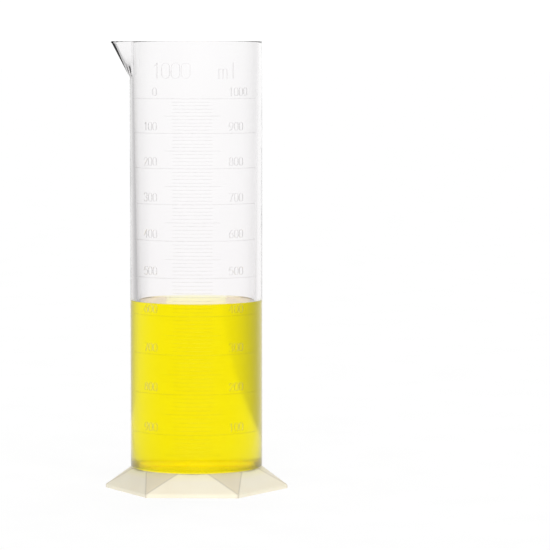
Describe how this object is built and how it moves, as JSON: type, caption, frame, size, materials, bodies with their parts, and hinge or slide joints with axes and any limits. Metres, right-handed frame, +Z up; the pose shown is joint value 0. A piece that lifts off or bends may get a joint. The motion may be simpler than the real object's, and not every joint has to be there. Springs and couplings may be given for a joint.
{
  "type": "graduated cylinder",
  "caption": "Tall clear plastic measuring cylinder with a beak spout, a raised double scale, yellow liquid and a hexagonal foot.",
  "frame": {"origin": "centre of the foot's underside, on the tube's axis", "axes": "+Z up along the tube's axis, the scale faces -Y and the spout points along -X"},
  "size_m": [0.1144, 0.099, 0.2803],
  "materials": {
    "clear_plastic": "polished, clear",
    "relief_plastic": "slightly frosted, clear",
    "milky_plastic": "satin, translucent",
    "yellow_liquid": "clear liquid"
  },
  "bodies": {
    "foot": {"hexagonal_foot": "milky_plastic"},
    "filled_tube": {"tube": "clear_plastic", "liquid_fill": "yellow_liquid", "lines_every_10_ml": "relief_plastic", "lines_every_50_ml": "relief_plastic", "lines_every_100_ml": "relief_plastic", "numerals_contained": "relief_plastic", "numerals_poured": "relief_plastic", "capacity_legend": "relief_plastic"}
  },
  "joints": [
    {"name": "foot_lift", "type": "slide", "parent": "foot", "child": "filled_tube", "axis": [0, 0, 1], "range_m": [0, 0.015]}
  ]
}
